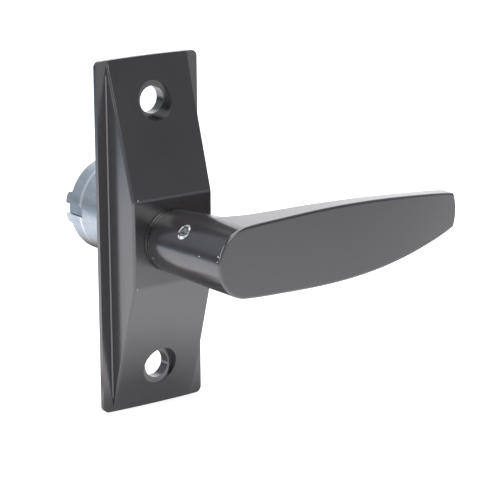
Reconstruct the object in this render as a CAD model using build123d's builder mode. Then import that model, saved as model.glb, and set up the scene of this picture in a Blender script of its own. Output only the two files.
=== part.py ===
from build123d import *
from math import asin, atan2, cos, degrees, radians, sin, sqrt, tan
import os

# Narrow-stile deadlatch handle: a faceted cast escutcheon with a leaf-shaped lever in front
# and a round housing behind it that goes into the hole in the door stile.
# Frame: +Z up, -Y towards the user, +Y into the door, +X along the lever.
# The origin is on the lever's axis, in the plane of the door's face.
# Sizes called "front" are measured from the door's face towards the user.
# Sizes called "depth" are measured from the door's face into the door.

os.makedirs("parts", exist_ok=True)

# Fits and small clearances
running_fit = 0.03
press_gap = 0.02
face_gap = 0.05
thread_gap = 0.02
assembly_gap = 0.15
top_gap = 0.4

# Escutcheon: flat plate with a raised body that slopes up to a flat middle band
plate_height = 114.3
plate_width = 38.1
plate_thickness = 1.6
plate_corner = 2.0
end_bulge = 0.3
body_width = 31.0
body_draft = 2.0
body_edge_round = 0.8
body_crease = 0.35
knee_round = 4.0
overrun = 1.0
plate_front = 14.66
band_height = 27.7
wall = 3.0
side_wall = 2.7
pocket_length = 64.0
rib_thickness = 1.8
rib_spacing = 46.0
rib_setback = 3.0

# Fixing holes in the sloped faces
fixing_spacing = 86.6
fixing_radius = 4.42
fixing_bore_radius = 6.2
fixing_floor = 3.8

# Bush in the middle band
bush_radius = 8.0
bush_flange_radius = 10.0
bush_flange = 1.5
bush_recess = 0.4
bush_tail = 0.3

# Spindle
journal_radius = 6.35
collar_radius = 8.0
collar_length = 2.0
key_radius = 5.2
key_flats = 7.8
key_fill = 2.0
shank_radius = 4.0
square_front = 7.94
square_rear = 5.6
spindle_front = 37.0
washer_radius = 9.0
thrust_thickness = 0.9
neck_washer_thickness = 0.75
square_chamfer = 0.6

# Stop plate and its return spring
turn_limit = 45.0
stop_margin = 1.5
stop_thickness = 2.0
stop_disc_radius = 8.9
ear_radius = 11.5
ear_angle = 11.5
tang_height = 1.4
tang_reach = 5.8
lug_width = 3.6
lug_height = 3.7
ring_thickness = 0.7
ring_grip = 0.4
ring_width = 1.5
wire_radius = 0.6
coil_radius = 6.2
coil_pitch = 1.3
coil_turns = 3
leg_length = 6.6
leg_inset = 0.02
spring_seat = 0.3
post_width = 4.4
post_height = 3.3
post_reach = 5.6

# Round housing behind the plate; its centre line lies above the lever's axis
housing_rise = 5.8
housing_radius = 15.85
housing_bore_radius = 12.9
housing_depth = 20.9
housing_web = 3.0
spindle_clearance = 0.6
nose_radius = 15.7
nose_bore_radius = 13.7
nose_length = 6.1
disc_seat = 13.6
slot_width = 3.3
dog_top = 5.4
dog_bottom = 4.9
dog_length = 2.5
dog_top_round = 1.6
dog_bottom_round = 2.3

# Screws that hold the housing to the escutcheon
housing_screw_x = 9.4
housing_screw_rise = 2.5
housing_screw_radius = 1.75
housing_head_radius = 2.75
housing_head = 2.2
housing_screw_bite = 8.0
head_round = 0.8
cross_width = 2.6
cross_slot = 0.6
cross_depth = 1.2
boss_radius = 3.1

# End disc, its bush and the cam behind it
disc_thickness = 1.8
tab_thickness = 1.6
tab_recess = 0.5
tab_overhang = 0.9
rear_bush_radius = 5.5
rear_bush_flange_radius = 6.6
rear_bush_flange = 1.0
rear_bush_tail = 0.5
cam_gap = 0.4
cam_thickness = 2.5
cam_hub_radius = 6.0
cam_reach = 16.7
cam_width = 4.0
cam_screw_radius = 2.0
cam_screw_bite = 8.0
cam_head_radius = 3.6
cam_head = 2.2
lock_washer_thickness = 0.7
washer_split = 0.6
split_angle = 20.0
cam_head_round = 0.5
cam_key_depth = 1.4

# Lever: round neck and leaf-shaped blade, cast in one
neck_radius = 10.2
neck_start = 16.2
neck_recess_radius = 9.3
head_radius = 11.3
head_shift = 1.9
flare_start = 34.8
flare_radius = 7.0
flare_lap = 0.3
blade_length = 97.4
blade_edge_round = 0.8
leave_turn = 95.0
leaf_shoulder_x = 14.0
leaf_shoulder = 11.9
leaf_middle_x = 32.0
leaf_middle = 12.35
leaf_waist_x = 60.0
leaf_waist = 11.05
leaf_taper_x = 80.0
leaf_taper = 8.6
leaf_tip = 5.8
tip_slope = 0.24
tip_bulge = 1.5
front_end = 52.2
front_bow_x = 24.0
front_bow = 51.7
front_waist = 48.4
front_taper = 43.8
front_tip = 37.85
back_end = 37.9
back_root_x = 20.0
back_root = 41.7
back_grip_x = 44.0
back_grip = 43.6
back_waist = 42.5
back_taper = 38.1
back_tip = 31.2
set_screw_front = 30.6
set_screw_angle = 45.0
set_screw_radius = 2.3
set_screw_sink = 0.25
set_screw_chamfer = 0.45
hex_key = 2.6
hex_depth = 2.5

# Places that follow from the sizes above
plate_end = plate_height / 2
band_end = band_height / 2
pocket_width = body_width - 2 * plate_front * tan(radians(body_draft)) - 2 * side_wall
inner_front = plate_front - wall
slope = (plate_front - plate_thickness) / (plate_end - band_end)
slope_wall = wall * sqrt(1 + slope**2)
crease_front = plate_thickness + body_crease
crease_width = body_width + 2 * crease_front * (1 - tan(radians(body_draft)))
pocket_end = pocket_length / 2
pocket_end_front = plate_thickness + slope * (plate_end - pocket_end) - slope_wall
pocket_knee = band_end - (slope_wall - wall) / slope
bush_front = plate_front - bush_recess + bush_flange
bush_back = inner_front - bush_tail
collar_front = bush_back - thrust_thickness - 2 * face_gap
collar_back = collar_front - collar_length
stop_front = collar_back - face_gap
stop_back = stop_front - stop_thickness
ring_front = stop_back - face_gap
neck_floor = bush_front + neck_washer_thickness + 2 * face_gap
journal_front = neck_floor - face_gap
tang_bottom = coil_radius + wire_radius + top_gap
lug_bottom = stop_disc_radius + top_gap
post_bottom = sqrt((post_width / 2) ** 2 + (tang_bottom + tang_height) ** 2) + top_gap / 2
leg_x = post_width / 2 + wire_radius + assembly_gap
nose_start = housing_depth - nose_length
screw_z = housing_rise + housing_screw_rise
disc_back = disc_seat + disc_thickness
tab_face_x = nose_radius - tab_recess
tab_width = slot_width - 2 * assembly_gap
cam_seat = housing_depth + cam_gap
cam_back = cam_seat + cam_thickness
spindle_depth = cam_back - assembly_gap
square_start = disc_back + rear_bush_tail + top_gap
set_screw_plane = Plane(
    origin=(0, -set_screw_front, 0),
    x_dir=(0, -1, 0),
    z_dir=(-cos(radians(set_screw_angle)), 0, sin(radians(set_screw_angle))),
)


# Outline of the escutcheon: straight sides and slightly bowed ends
side_x = plate_width / 2
side_z = plate_end - end_bulge
with BuildSketch(Plane.XZ) as plate_outline:
    with BuildLine():
        ThreePointArc((-side_x, side_z), (0, plate_end), (side_x, side_z))
        Line((side_x, side_z), (side_x, -side_z))
        ThreePointArc((side_x, -side_z), (0, -plate_end), (-side_x, -side_z))
        Line((-side_x, -side_z), (-side_x, side_z))
    make_face()
    fillet(plate_outline.vertices(), radius=plate_corner)

# Escutcheon casting: the raised body is a drafted block that its side profile and outline trim.
foot_front = plate_thickness - slope * overrun
with BuildPart() as escutcheon:
    with BuildSketch(Plane.XZ):
        Rectangle(body_width, plate_height + 4 * overrun)
    extrude(amount=plate_front, taper=body_draft)
    with BuildSketch(Plane.YZ) as side_profile:
        Polygon(
            (0, plate_end + overrun),
            (-foot_front, plate_end + overrun),
            (-plate_front, band_end),
            (-plate_front, -band_end),
            (-foot_front, -plate_end - overrun),
            (0, -plate_end - overrun),
            align=None,
        )
        fillet(side_profile.vertices().sort_by(Axis.X)[:2], radius=knee_round)
    extrude(amount=plate_width, both=True, mode=Mode.INTERSECT)
    long_edges = escutcheon.edges().filter_by(lambda e: abs(e.tangent_at(0.5).Z) > 0.5)
    fillet(long_edges.filter_by(lambda e: e.center().Y < -plate_thickness), radius=body_edge_round)
    extrude(plate_outline.sketch, amount=plate_front, mode=Mode.INTERSECT)
    # narrow bevel that fills the crease along the body's foot
    with BuildSketch(Plane.XZ):
        Rectangle(crease_width, 2 * (plate_end - crease_front - body_crease / slope))
    extrude(amount=crease_front, taper=45)
    # flat plate round the foot of the body
    extrude(plate_outline.sketch, amount=plate_thickness)
    # hollow back, left open towards the door
    with BuildSketch(Plane.YZ):
        Polygon(
            (0, pocket_end),
            (-pocket_end_front, pocket_end),
            (-inner_front, pocket_knee),
            (-inner_front, -pocket_knee),
            (-pocket_end_front, -pocket_end),
            (0, -pocket_end),
            align=None,
        )
    extrude(amount=pocket_width / 2, both=True, mode=Mode.SUBTRACT)
    # cross ribs in the hollow, set back from the door's face
    with BuildSketch(Plane.XZ.offset(rib_setback)):
        with GridLocations(0, rib_spacing, 1, 2):
            Rectangle(pocket_width, rib_thickness)
    extrude(until=Until.NEXT)
    # bosses for the housing screws, and the lug that stops the lever's turn
    with BuildSketch(Plane.XZ):
        with Locations((-housing_screw_x, screw_z), (housing_screw_x, screw_z)):
            Circle(boss_radius)
    extrude(amount=inner_front + wall / 2)
    with BuildSketch(Plane.XZ.offset(stop_back - stop_margin / 4)):
        with Locations((0, -lug_bottom - lug_height / 2)):
            Rectangle(lug_width, lug_height)
    extrude(amount=inner_front + wall / 2 - stop_back)
    # pilot holes for the housing screws
    with BuildSketch(Plane.XZ):
        with Locations((-housing_screw_x, screw_z), (housing_screw_x, screw_z)):
            Circle(housing_screw_radius + thread_gap)
    extrude(amount=housing_screw_bite + face_gap, mode=Mode.SUBTRACT)
    # seat and hole for the bush
    with Locations(Plane.XZ.offset(plate_front)):
        CounterBoreHole(bush_radius, bush_flange_radius + assembly_gap, bush_recess)
    # fixing holes with flat seats for the screw heads
    with Locations(Plane.XZ.offset(plate_front)):
        with GridLocations(0, fixing_spacing, 1, 2):
            CounterBoreHole(fixing_radius, fixing_bore_radius, plate_front - fixing_floor)
escutcheon.part.label = "escutcheon"
export_step(escutcheon.part, "parts/escutcheon.step")

# Flanged bush that carries the spindle in the middle band
with BuildPart() as neck_bushing:
    with BuildSketch(Plane.XZ.offset(bush_back)):
        Circle(bush_radius - press_gap)
        Circle(journal_radius + running_fit, mode=Mode.SUBTRACT)
    extrude(amount=bush_front - bush_back)
    with BuildSketch(Plane.XZ.offset(bush_front - bush_flange)):
        Circle(bush_flange_radius)
        Circle(bush_radius - press_gap, mode=Mode.SUBTRACT)
    extrude(amount=bush_flange)
neck_bushing.part.label = "neck_bushing"
export_step(neck_bushing.part, "parts/neck_bushing.step")

# Spindle: square nose for the lever, journal, collar, keyed seat, shank and square tail
with BuildPart() as spindle:
    with BuildSketch(Plane.XZ.offset(journal_front)):
        Rectangle(square_front, square_front, rotation=45)
    extrude(amount=spindle_front - journal_front)
    chamfer(spindle.faces().sort_by(Axis.Y)[0].edges(), length=square_chamfer)
    with BuildSketch(Plane.XZ.offset(collar_front)):
        Circle(journal_radius)
    extrude(amount=journal_front - collar_front)
    with BuildSketch(Plane.XZ.offset(collar_back)):
        Circle(collar_radius)
    extrude(amount=collar_length)
    with BuildSketch(Plane.XZ.offset(ring_front)):
        Circle(key_radius)
        Rectangle(2 * key_radius, key_flats, mode=Mode.INTERSECT)
    extrude(amount=collar_back - ring_front)
    with BuildSketch(Plane.XZ.offset(-square_start)):
        Circle(shank_radius)
    extrude(amount=square_start + ring_front)
    with BuildSketch(Plane.XZ.offset(-square_start)):
        Rectangle(square_rear, square_rear)
    extrude(amount=-(spindle_depth - square_start))
    # groove for the retaining ring
    with BuildSketch(Plane.XZ.offset(ring_front - ring_thickness - face_gap)):
        Circle(shank_radius)
        Circle(shank_radius - ring_grip, mode=Mode.SUBTRACT)
    extrude(amount=ring_thickness + face_gap, mode=Mode.SUBTRACT)
    # tapped hole for the cam screw
    with BuildSketch(Plane.XZ.offset(-spindle_depth)):
        Circle(cam_screw_radius + thread_gap)
    extrude(amount=cam_screw_bite + cam_screw_radius, mode=Mode.SUBTRACT)
spindle.part.label = "spindle"
export_step(spindle.part, "parts/spindle.step")

# Thrust washer between the bush and the spindle's collar
with BuildPart() as thrust_washer:
    with BuildSketch(Plane.XZ.offset(collar_front + face_gap)):
        Circle(washer_radius)
        Circle(journal_radius + running_fit, mode=Mode.SUBTRACT)
    extrude(amount=thrust_thickness)
thrust_washer.part.label = "thrust_washer"
export_step(thrust_washer.part, "parts/thrust_washer.step")

# Friction washer in the end of the lever's neck
with BuildPart() as neck_washer:
    with BuildSketch(Plane.XZ.offset(bush_front + face_gap)):
        Circle(washer_radius)
        Circle(journal_radius + running_fit, mode=Mode.SUBTRACT)
    extrude(amount=neck_washer_thickness)
neck_washer.part.label = "neck_washer"
export_step(neck_washer.part, "parts/neck_washer.step")

# Stop plate: keyed disc with two ears that meet the lug, and a bent tang that winds the spring
lug_half_angle = degrees(asin(lug_width / 2 / lug_bottom))
ear_start = turn_limit + lug_half_angle + stop_margin
with BuildPart() as stop_plate:
    with BuildSketch(Plane.XZ.offset(stop_back)):
        Circle(stop_disc_radius)
        for side in (-1, 1):
            near = radians(-90 + side * ear_start)
            far = radians(-90 + side * (ear_start + ear_angle))
            near_tip = (ear_radius * cos(near), ear_radius * sin(near))
            far_tip = (ear_radius * cos(far), ear_radius * sin(far))
            with BuildLine():
                Polyline((0, 0), near_tip, far_tip, (0, 0))
            make_face()
        # keyed hole with two flats
        Circle(key_radius + press_gap, mode=Mode.SUBTRACT)
        with GridLocations(0, key_flats + 2 * press_gap + key_fill, 1, 2):
            Rectangle(2 * key_radius, key_fill)
    extrude(amount=stop_thickness)
    # bent tang
    with BuildSketch(Plane.XZ.offset(stop_back - tang_reach)):
        with Locations((0, tang_bottom + tang_height / 2)):
            Rectangle(post_width, tang_height)
    extrude(amount=tang_reach + stop_thickness / 2)
stop_plate.part.label = "stop_plate"
export_step(stop_plate.part, "parts/stop_plate.step")

# Retaining ring that keeps the stop plate on its seat
with BuildPart() as retaining_ring:
    with BuildSketch(Plane.XZ.offset(ring_front - ring_thickness)):
        Circle(shank_radius - ring_grip + press_gap + ring_width)
        Circle(shank_radius - ring_grip + press_gap, mode=Mode.SUBTRACT)
        with Locations((0, -shank_radius)):
            Rectangle(shank_radius, 2 * shank_radius, mode=Mode.SUBTRACT)
    extrude(amount=ring_thickness - face_gap)
retaining_ring.part.label = "retaining_ring"
export_step(retaining_ring.part, "parts/retaining_ring.step")

# Return spring: close coils round the shank, with a leg on each side of the post
leg_angle = degrees(asin(leg_x / coil_radius))
coil_sweep = coil_turns + 2 * leg_angle / 360
coil_back = spring_seat + wire_radius
coil_front = coil_back + coil_pitch * coil_sweep
leg_foot = coil_radius * cos(radians(leg_angle))
forward = Axis((0, 0, 0), (0, -1, 0))
with BuildLine() as raw_coil:
    Helix(coil_pitch, coil_pitch * coil_sweep, coil_radius, (0, -coil_back, 0), (0, -1, 0))
raw_start = raw_coil.line @ 0
coil = raw_coil.line.rotate(forward, 90 - leg_angle - degrees(atan2(raw_start.Z, raw_start.X)))
with BuildPart() as return_spring:
    with BuildSketch(Plane(origin=coil @ 0, z_dir=coil % 0)):
        Circle(wire_radius)
    sweep(path=coil)
    # legs, a hair slimmer than the coil so that they join it cleanly
    with BuildSketch(Plane.XY.offset(leg_foot - wire_radius)):
        with Locations((leg_x - leg_inset, -coil_back), (leg_inset - leg_x, -coil_front)):
            Circle(wire_radius - leg_inset)
    extrude(amount=leg_length + wire_radius)
return_spring.part.label = "return_spring"
export_step(return_spring.part, "parts/return_spring.step")

# Round housing: web with the spring post in front, thin-walled nose with slotted dogs behind
dog_width = dog_top + dog_bottom
dog_z = housing_rise + (dog_top - dog_bottom) / 2
with BuildPart() as cylinder_housing:
    with BuildSketch(Plane.XZ):
        with Locations((0, housing_rise)):
            Circle(housing_radius)
    extrude(amount=-nose_start)
    with BuildSketch(Plane.XZ.offset(-nose_start)):
        with Locations((0, housing_rise)):
            Circle(nose_radius)
    extrude(amount=-nose_length)
    # dogs that stand behind the rim at both sides
    with BuildSketch(Plane.XZ.offset(-housing_depth)):
        with Locations((0, housing_rise)):
            Circle(nose_radius)
        with Locations((0, dog_z)):
            Rectangle(2 * nose_radius, dog_width, mode=Mode.INTERSECT)
    extrude(amount=-dog_length)
    dog_edges = cylinder_housing.faces().sort_by(Axis.Y)[-1].edges().filter_by(Axis.X).sort_by(Axis.Z)
    fillet(dog_edges[-1], radius=dog_top_round)
    fillet(dog_edges[0], radius=dog_bottom_round)
    with BuildSketch(Plane.XZ.offset(-disc_seat)):
        with Locations((0, housing_rise)):
            Circle(nose_bore_radius)
    extrude(amount=disc_seat - housing_depth - dog_length, mode=Mode.SUBTRACT)
    with BuildSketch(Plane.XZ.offset(-housing_web)):
        with Locations((0, housing_rise)):
            Circle(housing_bore_radius)
    extrude(amount=housing_web - disc_seat, mode=Mode.SUBTRACT)
    # slots at both sides of the nose
    with BuildSketch(Plane.XZ.offset(-disc_seat)):
        with Locations((0, housing_rise)):
            Rectangle(2 * housing_radius, slot_width)
    extrude(amount=disc_seat - housing_depth - dog_length, mode=Mode.SUBTRACT)
    # hole for the spindle, clear of the spring's seat
    with BuildSketch(Plane.XZ):
        Circle(shank_radius + spindle_clearance)
    extrude(amount=-housing_web, mode=Mode.SUBTRACT)
    # clearance holes for the housing screws
    with BuildSketch(Plane.XZ):
        with Locations((-housing_screw_x, screw_z), (housing_screw_x, screw_z)):
            Circle(housing_screw_radius + assembly_gap)
    extrude(amount=-housing_web, mode=Mode.SUBTRACT)
    # post between the spring's legs
    with BuildSketch(Plane.XZ):
        with Locations((0, post_bottom + post_height / 2)):
            Rectangle(post_width, post_height)
    extrude(amount=post_reach)
cylinder_housing.part.label = "cylinder_housing"
export_step(cylinder_housing.part, "parts/cylinder_housing.step")

# Pan-head screws that hold the housing to the escutcheon's bosses
with BuildPart() as housing_screws:
    with BuildSketch(Plane.XZ.offset(-housing_web)):
        with Locations((-housing_screw_x, screw_z), (housing_screw_x, screw_z)):
            Circle(housing_screw_radius)
    extrude(amount=housing_web + housing_screw_bite)
    with BuildSketch(Plane.XZ.offset(-housing_web)):
        with Locations((-housing_screw_x, screw_z), (housing_screw_x, screw_z)):
            Circle(housing_head_radius)
    extrude(amount=-housing_head)
    fillet(housing_screws.faces().sort_by(Axis.Y)[-2:].edges(), radius=head_round)
    # cross recesses
    with BuildSketch(Plane.XZ.offset(-housing_web - housing_head)):
        with Locations((-housing_screw_x, screw_z), (housing_screw_x, screw_z)):
            Rectangle(cross_width, cross_slot)
            Rectangle(cross_slot, cross_width)
    extrude(amount=cross_depth, mode=Mode.SUBTRACT)
housing_screws.part.label = "housing_screws"
export_step(housing_screws.part, "parts/housing_screws.step")

# End disc whose two ears are bent back and fill the housing's slots
with BuildPart() as housing_end_disc:
    with BuildSketch(Plane.XZ.offset(-disc_seat - face_gap)):
        with Locations((0, housing_rise)):
            Circle(nose_bore_radius - assembly_gap)
            Rectangle(2 * tab_face_x, tab_width)
        Circle(rear_bush_radius, mode=Mode.SUBTRACT)
    extrude(amount=-disc_thickness)
    # ears bent back along the slots
    with BuildSketch(Plane.XZ.offset(-disc_seat - face_gap)):
        with Locations((0, housing_rise)):
            with GridLocations(2 * tab_face_x - tab_thickness, 0, 2, 1):
                Rectangle(tab_thickness, tab_width)
    extrude(amount=disc_seat + face_gap - housing_depth - tab_overhang)
housing_end_disc.part.label = "housing_end_disc"
export_step(housing_end_disc.part, "parts/housing_end_disc.step")

# Flanged bush in the end disc
rear_bush_start = disc_seat + face_gap
with BuildPart() as rear_bushing:
    with BuildSketch(Plane.XZ.offset(-rear_bush_start)):
        Circle(rear_bush_flange_radius)
    extrude(amount=rear_bush_flange)
    with BuildSketch(Plane.XZ.offset(-rear_bush_start)):
        Circle(rear_bush_radius - press_gap)
    extrude(amount=-disc_thickness - rear_bush_tail)
    with Locations(Plane.XZ.offset(rear_bush_flange - rear_bush_start)):
        Hole(shank_radius + running_fit)
rear_bushing.part.label = "rear_bushing"
export_step(rear_bushing.part, "parts/rear_bushing.step")

# Cam on the spindle's tail, which swings between the dogs and works the lock
with BuildPart() as actuator_cam:
    with BuildSketch(Plane.XZ.offset(-cam_seat)):
        Circle(cam_hub_radius)
        with Locations((0, (cam_reach - cam_width / 2) / 2)):
            Rectangle(cam_width, cam_reach - cam_width / 2)
        with Locations((0, cam_reach - cam_width / 2)):
            Circle(cam_width / 2)
        Rectangle(square_rear + 2 * press_gap, square_rear + 2 * press_gap, mode=Mode.SUBTRACT)
    extrude(amount=-cam_thickness)
actuator_cam.part.label = "actuator_cam"
export_step(actuator_cam.part, "parts/actuator_cam.step")

# Split lock washer and socket screw that hold the cam
washer_seat = cam_back + face_gap
with BuildPart() as cam_lock_washer:
    with BuildSketch(Plane.XZ.offset(-washer_seat)):
        Circle(cam_head_radius)
        Circle(cam_screw_radius + assembly_gap, mode=Mode.SUBTRACT)
        with Locations((cam_head_radius, 0)):
            Rectangle(cam_head_radius, washer_split, rotation=split_angle, mode=Mode.SUBTRACT)
    extrude(amount=-lock_washer_thickness)
cam_lock_washer.part.label = "cam_lock_washer"
export_step(cam_lock_washer.part, "parts/cam_lock_washer.step")

head_seat = washer_seat + lock_washer_thickness + face_gap
with BuildPart() as cam_screw:
    with BuildSketch(Plane.XZ.offset(-head_seat)):
        Circle(cam_head_radius)
    extrude(amount=-cam_head)
    fillet(cam_screw.faces().sort_by(Axis.Y)[-1].edges(), radius=cam_head_round)
    with BuildSketch(Plane.XZ.offset(-head_seat)):
        Circle(cam_screw_radius)
    extrude(amount=head_seat - spindle_depth + cam_screw_bite)
    with BuildSketch(Plane.XZ.offset(-head_seat - cam_head)):
        RegularPolygon(hex_key / 2, 6, major_radius=False)
    extrude(amount=cam_key_depth, mode=Mode.SUBTRACT)
cam_screw.part.label = "cam_screw"
export_step(cam_screw.part, "parts/cam_screw.step")

# Lever casting: the blade is where its plan shape and its front outline meet.
# The neck widens to the blade's round left end, and the leaf outline leaves that circle near its top.
leave_angle = radians(leave_turn)
leave_x = head_shift + head_radius * cos(leave_angle)
leave_z = head_radius * sin(leave_angle)
head_axis = Axis((head_shift, 0, 0), (0, 1, 0))
tip_x = blade_length - tip_bulge
block_height = 2 * (leaf_middle + overrun)
block_start = -neck_radius - overrun
block_end = blade_length + overrun
with BuildPart() as lever:
    # plan: bowed front face and hollow back
    with BuildSketch(Plane.XY.offset(-block_height / 2)):
        with BuildLine():
            Spline(
                (block_start, -front_end),
                (front_bow_x, -front_bow),
                (leaf_waist_x, -front_waist),
                (leaf_taper_x, -front_taper),
                (block_end, -front_tip),
            )
            Line((block_end, -front_tip), (block_end, -back_tip))
            Spline(
                (block_end, -back_tip),
                (leaf_taper_x, -back_taper),
                (leaf_waist_x, -back_waist),
                (back_grip_x, -back_grip),
                (back_root_x, -back_root),
                (0, -back_end),
            )
            Line((0, -back_end), (block_start, -back_end))
            Line((block_start, -back_end), (block_start, -front_end))
        make_face()
    extrude(amount=block_height)
    # hollow flare that leads the neck into the blade's back
    flare_end = flare_start + flare_radius
    flare_root = head_shift + head_radius - flare_lap
    flare_rim = flare_root + flare_radius
    with BuildSketch(Plane.XY):
        with BuildLine():
            Line((head_shift, -flare_start), (flare_root, -flare_start))
            RadiusArc((flare_root, -flare_start), (flare_rim, -flare_end), -flare_radius)
            Line((flare_rim, -flare_end), (head_shift, -flare_end))
            Line((head_shift, -flare_end), (head_shift, -flare_start))
        make_face()
    revolve(axis=head_axis)
    # leaf outline seen from the front, its left end concentric with the neck
    with BuildSketch(Plane.XZ):
        with BuildLine():
            ThreePointArc((leave_x, leave_z), (head_shift - head_radius, 0), (leave_x, -leave_z))
            for side in (-1, 1):
                Spline(
                    (leave_x, side * leave_z),
                    (leaf_shoulder_x, side * leaf_shoulder),
                    (leaf_middle_x, side * leaf_middle),
                    (leaf_waist_x, side * leaf_waist),
                    (leaf_taper_x, side * leaf_taper),
                    (tip_x, side * leaf_tip),
                    tangents=((sin(leave_angle), -side * cos(leave_angle)), (1, -side * tip_slope)),
                )
            ThreePointArc((tip_x, -leaf_tip), (blade_length, 0), (tip_x, leaf_tip))
        make_face()
    extrude(amount=front_end + overrun, mode=Mode.INTERSECT)
    # neck, concentric with the spindle at its foot
    with BuildSketch(Plane.XZ.offset(neck_start)):
        Circle(neck_radius)
    with BuildSketch(Plane.XZ.offset(back_end + overrun)):
        with Locations((head_shift, 0)):
            Circle(head_radius - face_gap)
    loft()
    # softened edges round the front face, along the back and at the tip
    blade_faces = lever.faces().filter_by(GeomType.EXTRUSION)
    front_face = blade_faces.sort_by(Axis.Y)[0]
    back_face = blade_faces.filter_by(lambda f: f.normal_at().Y > 0.5)[0]
    back_edges = back_face.edges().filter_by(lambda e: e.center().X > 2 * neck_radius)
    tip_edges = lever.edges().filter_by(Axis.Y).filter_by(lambda e: e.center().X > blade_length / 2)
    fillet(front_face.edges() + back_edges + tip_edges, radius=blade_edge_round)
    # recess for the friction washer and square socket for the spindle
    with BuildSketch(Plane.XZ.offset(neck_start)):
        Circle(neck_recess_radius)
    extrude(amount=neck_floor - neck_start, mode=Mode.SUBTRACT)
    with BuildSketch(Plane.XZ.offset(neck_floor)):
        Rectangle(square_front + 2 * press_gap, square_front + 2 * press_gap, rotation=45)
    extrude(amount=spindle_front + top_gap - neck_floor, mode=Mode.SUBTRACT)
    # tapped hole for the set screw, square to the spindle's upper left flat
    with BuildSketch(set_screw_plane):
        Circle(set_screw_radius + thread_gap)
    extrude(amount=neck_radius + overrun, mode=Mode.SUBTRACT)
lever.part.label = "lever"
export_step(lever.part, "parts/lever.step")

# Socket set screw that locks the lever to the spindle
set_screw_foot = square_front / 2 + press_gap
set_screw_length = neck_radius - set_screw_sink - set_screw_foot
with BuildPart() as lever_set_screw:
    with BuildSketch(set_screw_plane.offset(set_screw_foot)):
        Circle(set_screw_radius)
    extrude(amount=set_screw_length)
    chamfer(lever_set_screw.faces().sort_by(Axis.Z)[-1].edges(), length=set_screw_chamfer)
    with BuildSketch(set_screw_plane.offset(set_screw_foot + set_screw_length)):
        RegularPolygon(hex_key / 2, 6, major_radius=False)
    extrude(amount=-hex_depth, mode=Mode.SUBTRACT)
lever_set_screw.part.label = "lever_set_screw"
export_step(lever_set_screw.part, "parts/lever_set_screw.step")
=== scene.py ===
# %% [markdown]
# # A lever handle for a narrow door lock
# The handle is a slim black plate with sloped faces, a leaf-shaped lever in front of it and a
# round bare-metal housing behind it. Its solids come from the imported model, which fixes their
# places and sizes. This lesson gives them their finishes, adds chips and wear, and lights them.
# Lengths are in metres: X runs along the lever, Y into the door and Z up.

import math

import bmesh
import bpy
from mathutils import Matrix, Vector


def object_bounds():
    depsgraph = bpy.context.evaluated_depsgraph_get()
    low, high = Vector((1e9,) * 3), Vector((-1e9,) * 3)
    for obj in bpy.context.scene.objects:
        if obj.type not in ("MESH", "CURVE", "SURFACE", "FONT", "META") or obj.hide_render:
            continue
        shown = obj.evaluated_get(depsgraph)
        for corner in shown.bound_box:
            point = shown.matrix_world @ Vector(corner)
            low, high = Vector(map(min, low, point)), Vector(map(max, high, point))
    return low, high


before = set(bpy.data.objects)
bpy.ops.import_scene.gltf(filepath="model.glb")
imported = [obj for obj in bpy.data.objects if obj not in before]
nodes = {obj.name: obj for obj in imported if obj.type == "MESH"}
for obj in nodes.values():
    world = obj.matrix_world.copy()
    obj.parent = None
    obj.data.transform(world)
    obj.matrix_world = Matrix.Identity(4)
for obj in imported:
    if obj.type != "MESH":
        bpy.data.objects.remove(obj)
cad_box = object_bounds()
print("nodes:", sorted(nodes))

# %% [markdown]
# Every finish here is a Principled shader with a few noise patterns on Object coordinates. Object
# coordinates are in metres and stay with the piece, so a pattern keeps its real size and doesn't
# slide when the lever turns. One helper makes the material, and another adds a node and links it,
# which keeps each finish short enough to read. The owner of a node is a material or the world.

# %% Helpers that make and link nodes
def new_finish(name):
    finish = bpy.data.materials.new(name)
    finish.use_nodes = True
    return finish, finish.node_tree.nodes["Principled BSDF"]


def add(owner, kind, inputs=None, **settings):
    node = owner.node_tree.nodes.new(kind)
    for key, value in settings.items():
        setattr(node, key, value)
    for key, value in (inputs or {}).items():
        if isinstance(value, bpy.types.NodeSocket):
            owner.node_tree.links.new(value, node.inputs[key])
        else:
            node.inputs[key].default_value = value
    return node


def link(owner, output, socket):
    owner.node_tree.links.new(output, socket)


print("node helpers ready")

# %% [markdown]
# Most patterns are small sums: a product of two masks, the distance to a point, or a colour mixed
# with another. Each of these helpers adds one node and returns its output, so a sum reads almost
# like ordinary arithmetic.

# %% Helpers that calculate
def calculate(owner, operation, *values):
    node = add(owner, "ShaderNodeMath", dict(enumerate(values)), operation=operation)
    return node.outputs["Value"]


def vector(owner, operation, *values, output="Vector"):
    node = add(owner, "ShaderNodeVectorMath", dict(enumerate(values)), operation=operation)
    return node.outputs[output]


def mix(owner, factor, first, second, blend_type="MIX"):
    node = add(owner, "ShaderNodeMix", {"Factor": factor, "A": first, "B": second},
               data_type="RGBA", blend_type=blend_type)
    return node.outputs["Result"]


print("sums ready")

# %% [markdown]
# The patterns themselves come from noise. A spread turns a part of the noise's range into the
# range that a roughness or a mask needs, a ramp turns it into colours, and a bump lets it tilt
# the surface without moving it.

# %% Helpers for patterns
def object_coordinates(owner):
    return add(owner, "ShaderNodeTexCoord").outputs["Object"]


def noise(owner, where, scale, detail=3.0, roughness=0.55):
    inputs = {"Vector": where, "Scale": scale, "Detail": detail, "Roughness": roughness}
    return add(owner, "ShaderNodeTexNoise", inputs).outputs["Fac"]


def spread(owner, value, low, high, start=0.35, end=0.65):
    inputs = {"Value": value, "From Min": start, "From Max": end, "To Min": low, "To Max": high}
    return add(owner, "ShaderNodeMapRange", inputs).outputs["Result"]


def ramp(owner, value, stops):
    node = add(owner, "ShaderNodeValToRGB", {"Fac": value})
    elements = node.color_ramp.elements
    while len(elements) < len(stops):
        elements.new(0.5)
    for element, (place, colour) in zip(elements, stops):
        element.position = place
        element.color = (*colour, 1.0)
    return node.outputs["Color"]


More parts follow.
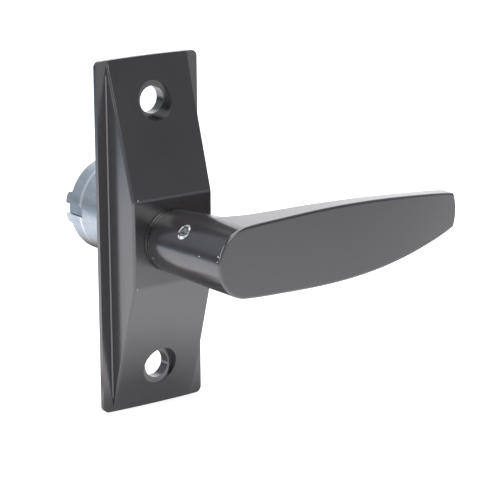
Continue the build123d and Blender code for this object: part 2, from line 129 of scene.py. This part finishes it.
def bump(owner, shader, height, distance, strength=1.0, below=None):
    inputs = {"Height": height, "Distance": distance, "Strength": strength}
    if below is not None:
        inputs["Normal"] = below
    node = add(owner, "ShaderNodeBump", inputs)
    link(owner, node.outputs["Normal"], shader.inputs["Normal"])
    return node.outputs["Normal"]


print("patterns ready")

# %% [markdown]
# The plate and the lever are zinc castings under a near-black baked coat. Up close such a coat
# isn't perfectly flat: it has a very faint orange-peel wave, a finer grain, and its gloss changes
# a little from place to place. The wave is a bump a few thousandths of a millimetre high, enough
# to soften the reflections without showing as a texture. The plate and the lever get a coat each,
# because their chips lie in different places.

# %% Near-black baked coat
coat_dark = (0.028, 0.026, 0.028)
coat_light = (0.034, 0.031, 0.032)
coat_roughness = (0.19, 0.23)
coat_ior = 1.6
cloud_scale, peel_scale, grain_scale = 45.0, 420.0, 2600.0
peel_height, grain_height = 0.000006, 0.0000015


def baked_coat(name):
    finish, shader = new_finish(name)
    where = object_coordinates(finish)
    cloud = noise(finish, where, cloud_scale, 2.0)
    grain = noise(finish, where, grain_scale, 3.0)
    peel = noise(finish, where, peel_scale, 2.0)
    colour = ramp(finish, cloud, [(0.25, coat_dark), (0.75, coat_light)])
    link(finish, colour, shader.inputs["Base Color"])
    link(finish, spread(finish, cloud, *coat_roughness, 0.2, 0.8), shader.inputs["Roughness"])
    shader.inputs["IOR"].default_value = coat_ior
    shader.inputs["Specular IOR Level"].default_value = 1.0
    wave = bump(finish, shader, peel, peel_height)
    bump(finish, shader, grain, grain_height, below=wave)
    return finish, shader, where, colour


plate_coat, plate_shader, plate_where, plate_colour = baked_coat("plate_coat")
lever_coat, lever_shader, lever_where, lever_colour = baked_coat("lever_coat")
print("black coat:", len(plate_coat.node_tree.nodes), "shader nodes")

# %% [markdown]
# The coat is chipped in a few small spots: a ragged bright ring round the set screw and specks on
# the edges of the plate. The bright specks on the round left end of the lever are painted
# highlights of its edge, laid on like chips. Each chip or painted highlight is a mask. For the
# screw it is the distance to the screw's own axis, and for a speck the distance to its middle,
# both roughened by noise. Where the mask is one, the coat gives way to bare metal.

# %% Masks for the chips
torn_scale, frayed_scale = 3000.0, 700.0
bare_metallic = 0.15


def chip(owner, where, middle, radius, ragged=0.6):
    away = vector(owner, "DISTANCE", where, middle, output="Value")
    torn = noise(owner, where, torn_scale, 2.0)
    rough_away = calculate(owner, "MULTIPLY_ADD", torn, radius * ragged, away)
    return calculate(owner, "LESS_THAN", rough_away, radius * (1.0 + ragged / 2))


def screw_rim(owner, where, middle, axis, inner, outer):
    from_middle = vector(owner, "SUBTRACT", where, middle)
    away = vector(owner, "LENGTH", vector(owner, "CROSS_PRODUCT", from_middle, axis), output="Value")
    ahead = vector(owner, "DOT_PRODUCT", from_middle, axis, output="Value")
    width = spread(owner, noise(owner, where, frayed_scale, 3.0), inner, outer, 0.3, 0.7)
    near = calculate(owner, "LESS_THAN", away, width)
    return calculate(owner, "MULTIPLY", near, calculate(owner, "GREATER_THAN", ahead, 0.0))


def lay_bare(owner, shader, colour, bare_colour, masks):
    mask = masks[0]
    for other in masks[1:]:
        mask = calculate(owner, "MAXIMUM", mask, other)
    link(owner, mix(owner, mask, colour, bare_colour), shader.inputs["Base Color"])
    link(owner, calculate(owner, "MULTIPLY", mask, bare_metallic), shader.inputs["Metallic"])


print("chip masks ready")

# %% [markdown]
# The places of the chips are points on the pieces. The rim lies round the set screw, whose axis
# leaves the neck up and to the left. The metal on the lever is bright: freshly bare in the rim, and
# a painted highlight in the specks, while the specks on the plate are old and have gone grey.

# %% Chip the lever and the plate
screw_middle = (0.0, -0.0306, 0.0)
screw_axis = (-0.7071, 0.0, 0.7071)
rim_radii = (0.0019, 0.0028)
bare_metal_and_glint = (0.95, 0.96, 0.97, 1.0)
grey_metal = (0.35, 0.36, 0.37, 1.0)
# The lever's specks are painted highlights of its rounded left end, not chips.
lever_glint_specks = [((-0.00925, -0.0509, 0.00345), 0.00045), ((-0.00955, -0.0509, 0.00190), 0.00035),
                ((-0.00930, -0.0415, 0.00170), 0.00022), ((-0.00950, -0.0170, -0.0040), 0.00022)]
plate_specks = [((-0.0130, -0.0145, 0.0145), 0.00028), ((-0.0139, -0.0146, -0.0139), 0.00020)]

# The rim is a real chip. The lever's specks are painted highlights in the same bright metal.
rim = screw_rim(lever_coat, lever_where, screw_middle, screw_axis, *rim_radii)
lever_glints = [chip(lever_coat, lever_where, *speck) for speck in lever_glint_specks]
lay_bare(lever_coat, lever_shader, lever_colour, bare_metal_and_glint, [rim] + lever_glints)
plate_chips = [chip(plate_coat, plate_where, *speck) for speck in plate_specks]
lay_bare(plate_coat, plate_shader, plate_colour, grey_metal, plate_chips)
print("chips: a rim and", len(lever_glints), "specks on the lever,", len(plate_chips), "on the plate")

# %% [markdown]
# The housing behind the plate is a bare zinc casting. It has a bluish-grey skin, drawn out a
# little along Y, its own axis, and fine flecks in its gloss. Round the step in its middle a light
# ring is laid on as a painted highlight, a band in Y. Its lower side is darkened with painted
# shade: there the colour is multiplied by a value that falls with height.

# %% Bare zinc of the housing
step_depth = 0.0148
ring_fades = (0.0003, 0.0011)
shade_below, lit_above = -0.007, 0.001
zinc_roughness = (0.26, 0.38)
ring_highlight_metal = (0.86, 0.88, 0.90, 1.0)
bare_zinc, shader = new_finish("bare_zinc")
where = object_coordinates(bare_zinc)
drawn_out = add(bare_zinc, "ShaderNodeMapping", {"Vector": where, "Scale": (1.0, 0.25, 1.0)})
cloud = noise(bare_zinc, drawn_out.outputs["Vector"], 240.0, 5.0, 0.7)
fleck = noise(bare_zinc, where, 1400.0, 3.0, 0.6)
skin = ramp(bare_zinc, cloud, [(0.2, (0.27, 0.32, 0.36)), (0.5, (0.36, 0.41, 0.45)),
                               (0.8, (0.50, 0.54, 0.57))])
places = add(bare_zinc, "ShaderNodeSeparateXYZ", {"Vector": where})
off_step = calculate(bare_zinc, "SUBTRACT", places.outputs["Y"], step_depth)
off_step = calculate(bare_zinc, "ABSOLUTE", off_step)
# Painted highlight: a light ring round the step.
near_step = spread(bare_zinc, off_step, 0.55, 0.0, *ring_fades)
skin = mix(bare_zinc, near_step, skin, ring_highlight_metal)
# Painted shade: the colour gets darker towards the bottom of the housing.
painted_low_shade = spread(bare_zinc, places.outputs["Z"], 0.12, 1.0, shade_below, lit_above)
skin = mix(bare_zinc, 1.0, skin, painted_low_shade, blend_type="MULTIPLY")
link(bare_zinc, skin, shader.inputs["Base Color"])
shader.inputs["Metallic"].default_value = 0.65
link(bare_zinc, spread(bare_zinc, fleck, *zinc_roughness, 0.2, 0.8), shader.inputs["Roughness"])
bump(bare_zinc, shader, fleck, 0.00001)
print("bare zinc:", len(bare_zinc.node_tree.nodes), "shader nodes")

# %% [markdown]
# The small pieces inside are plain metals. Zinc plating is satin with a faint yellow and blue
# cast, bearing and spring steels are darker, and the screws are bright. The end disc sits in the
# housing's slots and is darker than the housing, as painted shade, so the slots read as dark. One
# short function makes the five of them from two colours, a roughness and the scale of their grain.

# %% Metals of the inner pieces
def metal(name, dark, light, rough, grain_scale):
    finish, shader = new_finish(name)
    where = object_coordinates(finish)
    cloud = noise(finish, where, grain_scale / 6.0, 3.0)
    fine = noise(finish, where, grain_scale, 3.0)
    link(finish, ramp(finish, cloud, [(0.35, dark), (0.65, light)]), shader.inputs["Base Color"])
    shader.inputs["Metallic"].default_value = 1.0
    link(finish, spread(finish, fine, rough - 0.06, rough + 0.06), shader.inputs["Roughness"])
    bump(finish, shader, fine, 0.000003)
    return finish


plated_steel = metal("plated_steel", (0.50, 0.49, 0.45), (0.62, 0.63, 0.62), 0.30, 1800.0)
bearing_steel = metal("bearing_steel", (0.30, 0.29, 0.28), (0.42, 0.41, 0.39), 0.28, 2200.0)
# Painted shade: the end disc is darker so that the housing's slots read as dark.
slot_shade_zinc = metal("slot_shade_zinc", (0.15, 0.19, 0.22), (0.22, 0.27, 0.30), 0.34, 1600.0)
spring_steel = metal("spring_steel", (0.24, 0.24, 0.25), (0.36, 0.36, 0.37), 0.30, 2400.0)
screw_steel = metal("screw_steel", (0.66, 0.67, 0.68), (0.80, 0.81, 0.82), 0.20, 2000.0)
inner_metals = [plated_steel, bearing_steel, slot_shade_zinc, spring_steel, screw_steel]
print("metals:", [finish.name for finish in inner_metals])

# %% [markdown]
# The washer in the end of the neck is dark and matt, like fibre or nylon. It rubs against the
# ring in the plate, so its roughness changes a little from spot to spot.

# %% Dark washer
dark_washer, shader = new_finish("dark_washer")
matt = noise(dark_washer, object_coordinates(dark_washer), 1500.0)
link(dark_washer, spread(dark_washer, matt, 0.5, 0.62), shader.inputs["Roughness"])
shader.inputs["Base Color"].default_value = (0.03, 0.03, 0.03, 1.0)
print("dark washer ready")

# %% [markdown]
# Each node of the model now gets its finish. The nodes come with a plain material of their own,
# so that is cleared first. Their meshes and places stay as they were packed.

# %% Give each node its finish
finish_of = {
    "escutcheon": plate_coat, "lever": lever_coat,
    "cylinder_housing": bare_zinc, "housing_end_disc": slot_shade_zinc,
    "neck_bushing": bearing_steel, "rear_bushing": bearing_steel, "thrust_washer": bearing_steel,
    "spindle": plated_steel, "stop_plate": plated_steel, "housing_screws": plated_steel,
    "actuator_cam": plated_steel,
    "retaining_ring": spring_steel, "return_spring": spring_steel, "cam_lock_washer": spring_steel,
    "cam_screw": screw_steel, "lever_set_screw": screw_steel,
    "neck_washer": dark_washer,
}
for name, finish in finish_of.items():
    slots = nodes[name].data.materials
    slots.clear()
    slots.append(finish)
print("finishes on", len(finish_of), "nodes")

# %% [markdown]
# The handle stands on the lower end of its plate on a wide white table, which isn't part of the
# handle. It is one flat square, and so large that its edges lie far outside the picture.

# %% The white table
table_z = cad_box[0][2]
table_half = 6.0
shape = bmesh.new()
bmesh.ops.create_grid(shape, x_segments=1, y_segments=1, size=table_half)
bmesh.ops.translate(shape, verts=shape.verts, vec=(0.0, 0.0, table_z))
mesh = bpy.data.meshes.new("white_table")
shape.to_mesh(mesh)
shape.free()
white_table = bpy.data.objects.new("white_table", mesh)
bpy.context.collection.objects.link(white_table)
print("table at z =", round(table_z, 5))

# %% [markdown]
# Black gloss shows little of its own colour and mostly what stands round it, so the table that
# the coat mirrors makes half of the picture. To mirror rays the table is painted light: it glows
# brightest in the middle, greyer to the right, and ends on the left in a blue edge, which is the
# blue line along the neck. Two directions help to say where: one to the right in the picture, and
# one away from the camera.

# %% Painted glow of the table that the coat mirrors
rightward = (0.803, -0.596, 0.0)
away_from_camera = (0.596, 0.803, 0.0)
glow_span = (-1.0, 0.5)
table_white, shader = new_finish("table_white")
where = object_coordinates(table_white)
across = vector(table_white, "DOT_PRODUCT", where, rightward, output="Value")
deep = vector(table_white, "DOT_PRODUCT", where, away_from_camera, output="Value")
# Painted light: the tones that mirror rays see glowing on the table.
painted_glow = ramp(table_white, spread(table_white, across, 0.0, 1.0, *glow_span),
             [(0.05, (0.17, 0.18, 0.20)), (0.30, (0.26, 0.38, 0.54)), (0.40, (0.50, 0.70, 0.95)),
              (0.44, (1.60, 1.62, 1.72)), (0.70, (1.62, 1.62, 1.70)), (0.80, (1.15, 1.15, 1.19)),
              (0.93, (0.8, 0.8, 0.82))])
print("mirrored paper ready")

# %% [markdown]
# Just behind the handle the table's glow is darkened with painted shade, so the neck's underside
# is dark. The shade ends in a narrow brownish edge. It is the product of three masks: past its
# left edge, before its right edge and past the foot of the plate. Close to the foot the glow is
# darkened once more with painted shade, over a patch that is twice as wide as it is deep.

# %% Painted shade behind and under the handle
left_edge, right_edge, foot_edge = (-0.062, -0.044), (0.08, 0.14), (0.006, 0.014)
slant = -0.3
past_left = spread(table_white, across, 0.0, 1.0, *left_edge)
before_right = spread(table_white, across, 1.0, 0.0, *right_edge)
slanted = calculate(table_white, "MULTIPLY_ADD", across, slant, deep)
past_foot = spread(table_white, slanted, 0.0, 1.0, *foot_edge)
behind = calculate(table_white, "MULTIPLY", past_left, before_right)
behind = calculate(table_white, "MULTIPLY", behind, past_foot)
# Painted shade on the table's glow behind the handle.
shade = ramp(table_white, behind, [(0.0, (1.0, 1.0, 1.0)), (0.5, (0.68, 0.50, 0.47)),
                                   (1.0, (0.22, 0.205, 0.205))])
painted_glow = mix(table_white, 1.0, painted_glow, shade, blend_type="MULTIPLY")

# Painted shade on the table's glow close to the foot of the plate.
foot, foot_fades = (0.0, -0.005, table_z), (0.006, 0.031)
squeezed = vector(table_white, "MULTIPLY", where, (0.5, 1.0, 1.0))
from_foot = vector(table_white, "DISTANCE", squeezed, foot, output="Value")
foot_shade = spread(table_white, from_foot, 0.30, 1.0, *foot_fades)
print("shades ready")

# %% [markdown]
# To the camera the table is plain white, as in the photograph. The lamps light its pale grey, and a
# light of its own carries it up to the white of the background, shadow and all. The Light Path
# node tells a mirror ray from a camera ray. For a mirror ray the base colour is black and the
# painted glow, with its painted shade, takes over.

# %% Finish of the table
table_grey = 0.8
own_light = 0.75
path = add(table_white, "ShaderNodeLightPath")
mirrored = path.outputs["Is Glossy Ray"]
base = add(table_white, "ShaderNodeMath", {0: table_grey, 1: mirrored}, operation="SUBTRACT",
           use_clamp=True)
link(table_white, base.outputs["Value"], shader.inputs["Base Color"])
shader.inputs["Roughness"].default_value = 0.9
shader.inputs["Specular IOR Level"].default_value = 0.0
tone = mix(table_white, mirrored, (1.0, 1.0, 1.0, 1.0), painted_glow)
link(table_white, tone, shader.inputs["Emission Color"])
seen = calculate(table_white, "MAXIMUM", path.outputs["Is Camera Ray"],
                 path.outputs["Is Transmission Ray"])
in_mirror = calculate(table_white, "MULTIPLY", mirrored, foot_shade)
glow = calculate(table_white, "MULTIPLY_ADD", seen, own_light, in_mirror)
link(table_white, glow, shader.inputs["Emission Strength"])
mesh.materials.append(table_white)
print("table:", len(table_white.node_tree.nodes), "shader nodes")

# %% [markdown]
# The other half of what the coat mirrors is the room. A white paper wall stands behind the handle,
# square to the camera. It fades between 33 and 46 degrees of climb, and at its sides. Low in front
# there is a faint glow, which lights the upper slope of the plate, and behind hangs a dim ceiling,
# which lights the neck's upper side. The rest is dark. A fade is full at one value and gone at
# another.

# %% The room round the handle
wall_climb, wall_aside = (0.65, 1.05), (0.5, 0.95)
front_height, front_depth, front_strength = (0.20, 0.27), (-0.2, 0.1), 0.45
ceiling_height, ceiling_depth, ceiling_strength = (0.22, 0.02), (0.3, 0.0), 0.38
studio = bpy.data.worlds.new("studio")
bpy.context.scene.world = studio
studio.use_nodes = True
studio.node_tree.nodes.clear()
direction = add(studio, "ShaderNodeTexCoord").outputs["Generated"]


def along(axis):
    return vector(studio, "DOT_PRODUCT", direction, axis, output="Value")


def fade(value, full, gone):
    inputs = {"Value": value, "From Min": gone, "From Max": full}
    node = add(studio, "ShaderNodeMapRange", inputs, interpolation_type="SMOOTHSTEP")
    return node.outputs["Result"]


depth = along(away_from_camera)
height = along((0.0, 0.0, 1.0))
ahead = calculate(studio, "MAXIMUM", depth, 0.02)
climb = calculate(studio, "DIVIDE", height, ahead)
aside = calculate(studio, "DIVIDE", calculate(studio, "ABSOLUTE", along(rightward)), ahead)
wall = calculate(studio, "MULTIPLY", fade(climb, *wall_climb), fade(aside, *wall_aside))
low_front = calculate(studio, "MULTIPLY", fade(height, *front_height), fade(depth, *front_depth))
low_front = calculate(studio, "MULTIPLY", low_front, front_strength)
ceiling = calculate(studio, "MULTIPLY", fade(height, *ceiling_height), fade(depth, *ceiling_depth))
ceiling = calculate(studio, "MULTIPLY", ceiling, ceiling_strength)
print("room:", len(studio.node_tree.nodes), "nodes so far")

# %% [markdown]
# The strongest of the three parts picks the room's colour from a ramp: nearly black, a cool grey,
# then white. To the camera the whole world is plain white, and every other ray sees the room.

# %% The world
strongest = calculate(studio, "MAXIMUM", calculate(studio, "MAXIMUM", wall, low_front), ceiling)
room = ramp(studio, strongest, [(0.0, (0.17, 0.165, 0.17)), (0.4, (0.48, 0.52, 0.60)),
                                (1.0, (1.8, 1.8, 1.85))])
to_camera = add(studio, "ShaderNodeLightPath").outputs["Is Camera Ray"]
choice = mix(studio, to_camera, room, (1.0, 1.0, 1.0, 1.0))
background = add(studio, "ShaderNodeBackground", {"Color": choice})
add(studio, "ShaderNodeOutputWorld", {"Surface": background.outputs["Background"]})
print("world:", len(studio.node_tree.nodes), "nodes")

# %% [markdown]
# Three large soft lamps do the rest: one above and a little behind, one to the left, and a weak
# one high in front, which lifts the shade round the neck. Large lamps near the object give wide,
# soft highlights, as in a product photograph.

# %% Soft lamps
def soft_lamp(name, place, aim, size, watts):
    data = bpy.data.lights.new(name, "AREA")
    data.shape = "SQUARE"
    data.size = size
    data.energy = watts
    lamp = bpy.data.objects.new(name, data)
    lamp.location = place
    lamp.rotation_euler = (Vector(aim) - Vector(place)).to_track_quat("-Z", "Y").to_euler()
    bpy.context.collection.objects.link(lamp)


soft_lamp("lamp_above", place=(0.1, 0.25, 1.1), aim=(0.02, 0.0, 0.0), size=0.9, watts=9.0)
soft_lamp("lamp_left", place=(-1.0, 0.1, 0.5), aim=(0.0, 0.0, 0.0), size=0.7, watts=5.0)
soft_lamp("lamp_front", place=(-0.05, -0.75, 0.62), aim=(0.0, 0.0, 0.0), size=0.5, watts=3.2)

# %% [markdown]
# The camera stands about 37 degrees to the left of the handle's front and 14 degrees above it,
# three quarters of a metre away, with a long lens. Its place was found by matching the corners of
# the plate and the lever to the photograph, and its axes are written from those angles.

# %% The camera
azimuth, elevation, roll = math.radians(36.57), math.radians(14.46), math.radians(-0.41)
focal_pixels, picture_pixels, sensor_width = 2300.0, 500.0, 36.0
target, distance = Vector((0.04077, 0.0, -0.01267)), 0.76111

look = Vector((math.sin(azimuth) * math.cos(elevation), math.cos(azimuth) * math.cos(elevation),
               -math.sin(elevation)))
level = Vector((math.cos(azimuth), -math.sin(azimuth), 0.0))
upright = level.cross(look)
right = level * math.cos(roll) + upright * math.sin(roll)
up = upright * math.cos(roll) - level * math.sin(roll)
place = target - look * distance

camera_data = bpy.data.cameras.new("camera")
camera_data.sensor_width = sensor_width
camera_data.lens = sensor_width * focal_pixels / picture_pixels
camera = bpy.data.objects.new("camera", camera_data)
camera.matrix_world = Matrix(((right.x, up.x, -look.x, place.x),
                              (right.y, up.y, -look.y, place.y),
                              (right.z, up.z, -look.z, place.z),
                              (0.0, 0.0, 0.0, 1.0)))
bpy.context.collection.objects.link(camera)
bpy.context.scene.camera = camera
bpy.context.scene.view_settings.view_transform = "Standard"
print("camera at", [round(value, 4) for value in place])
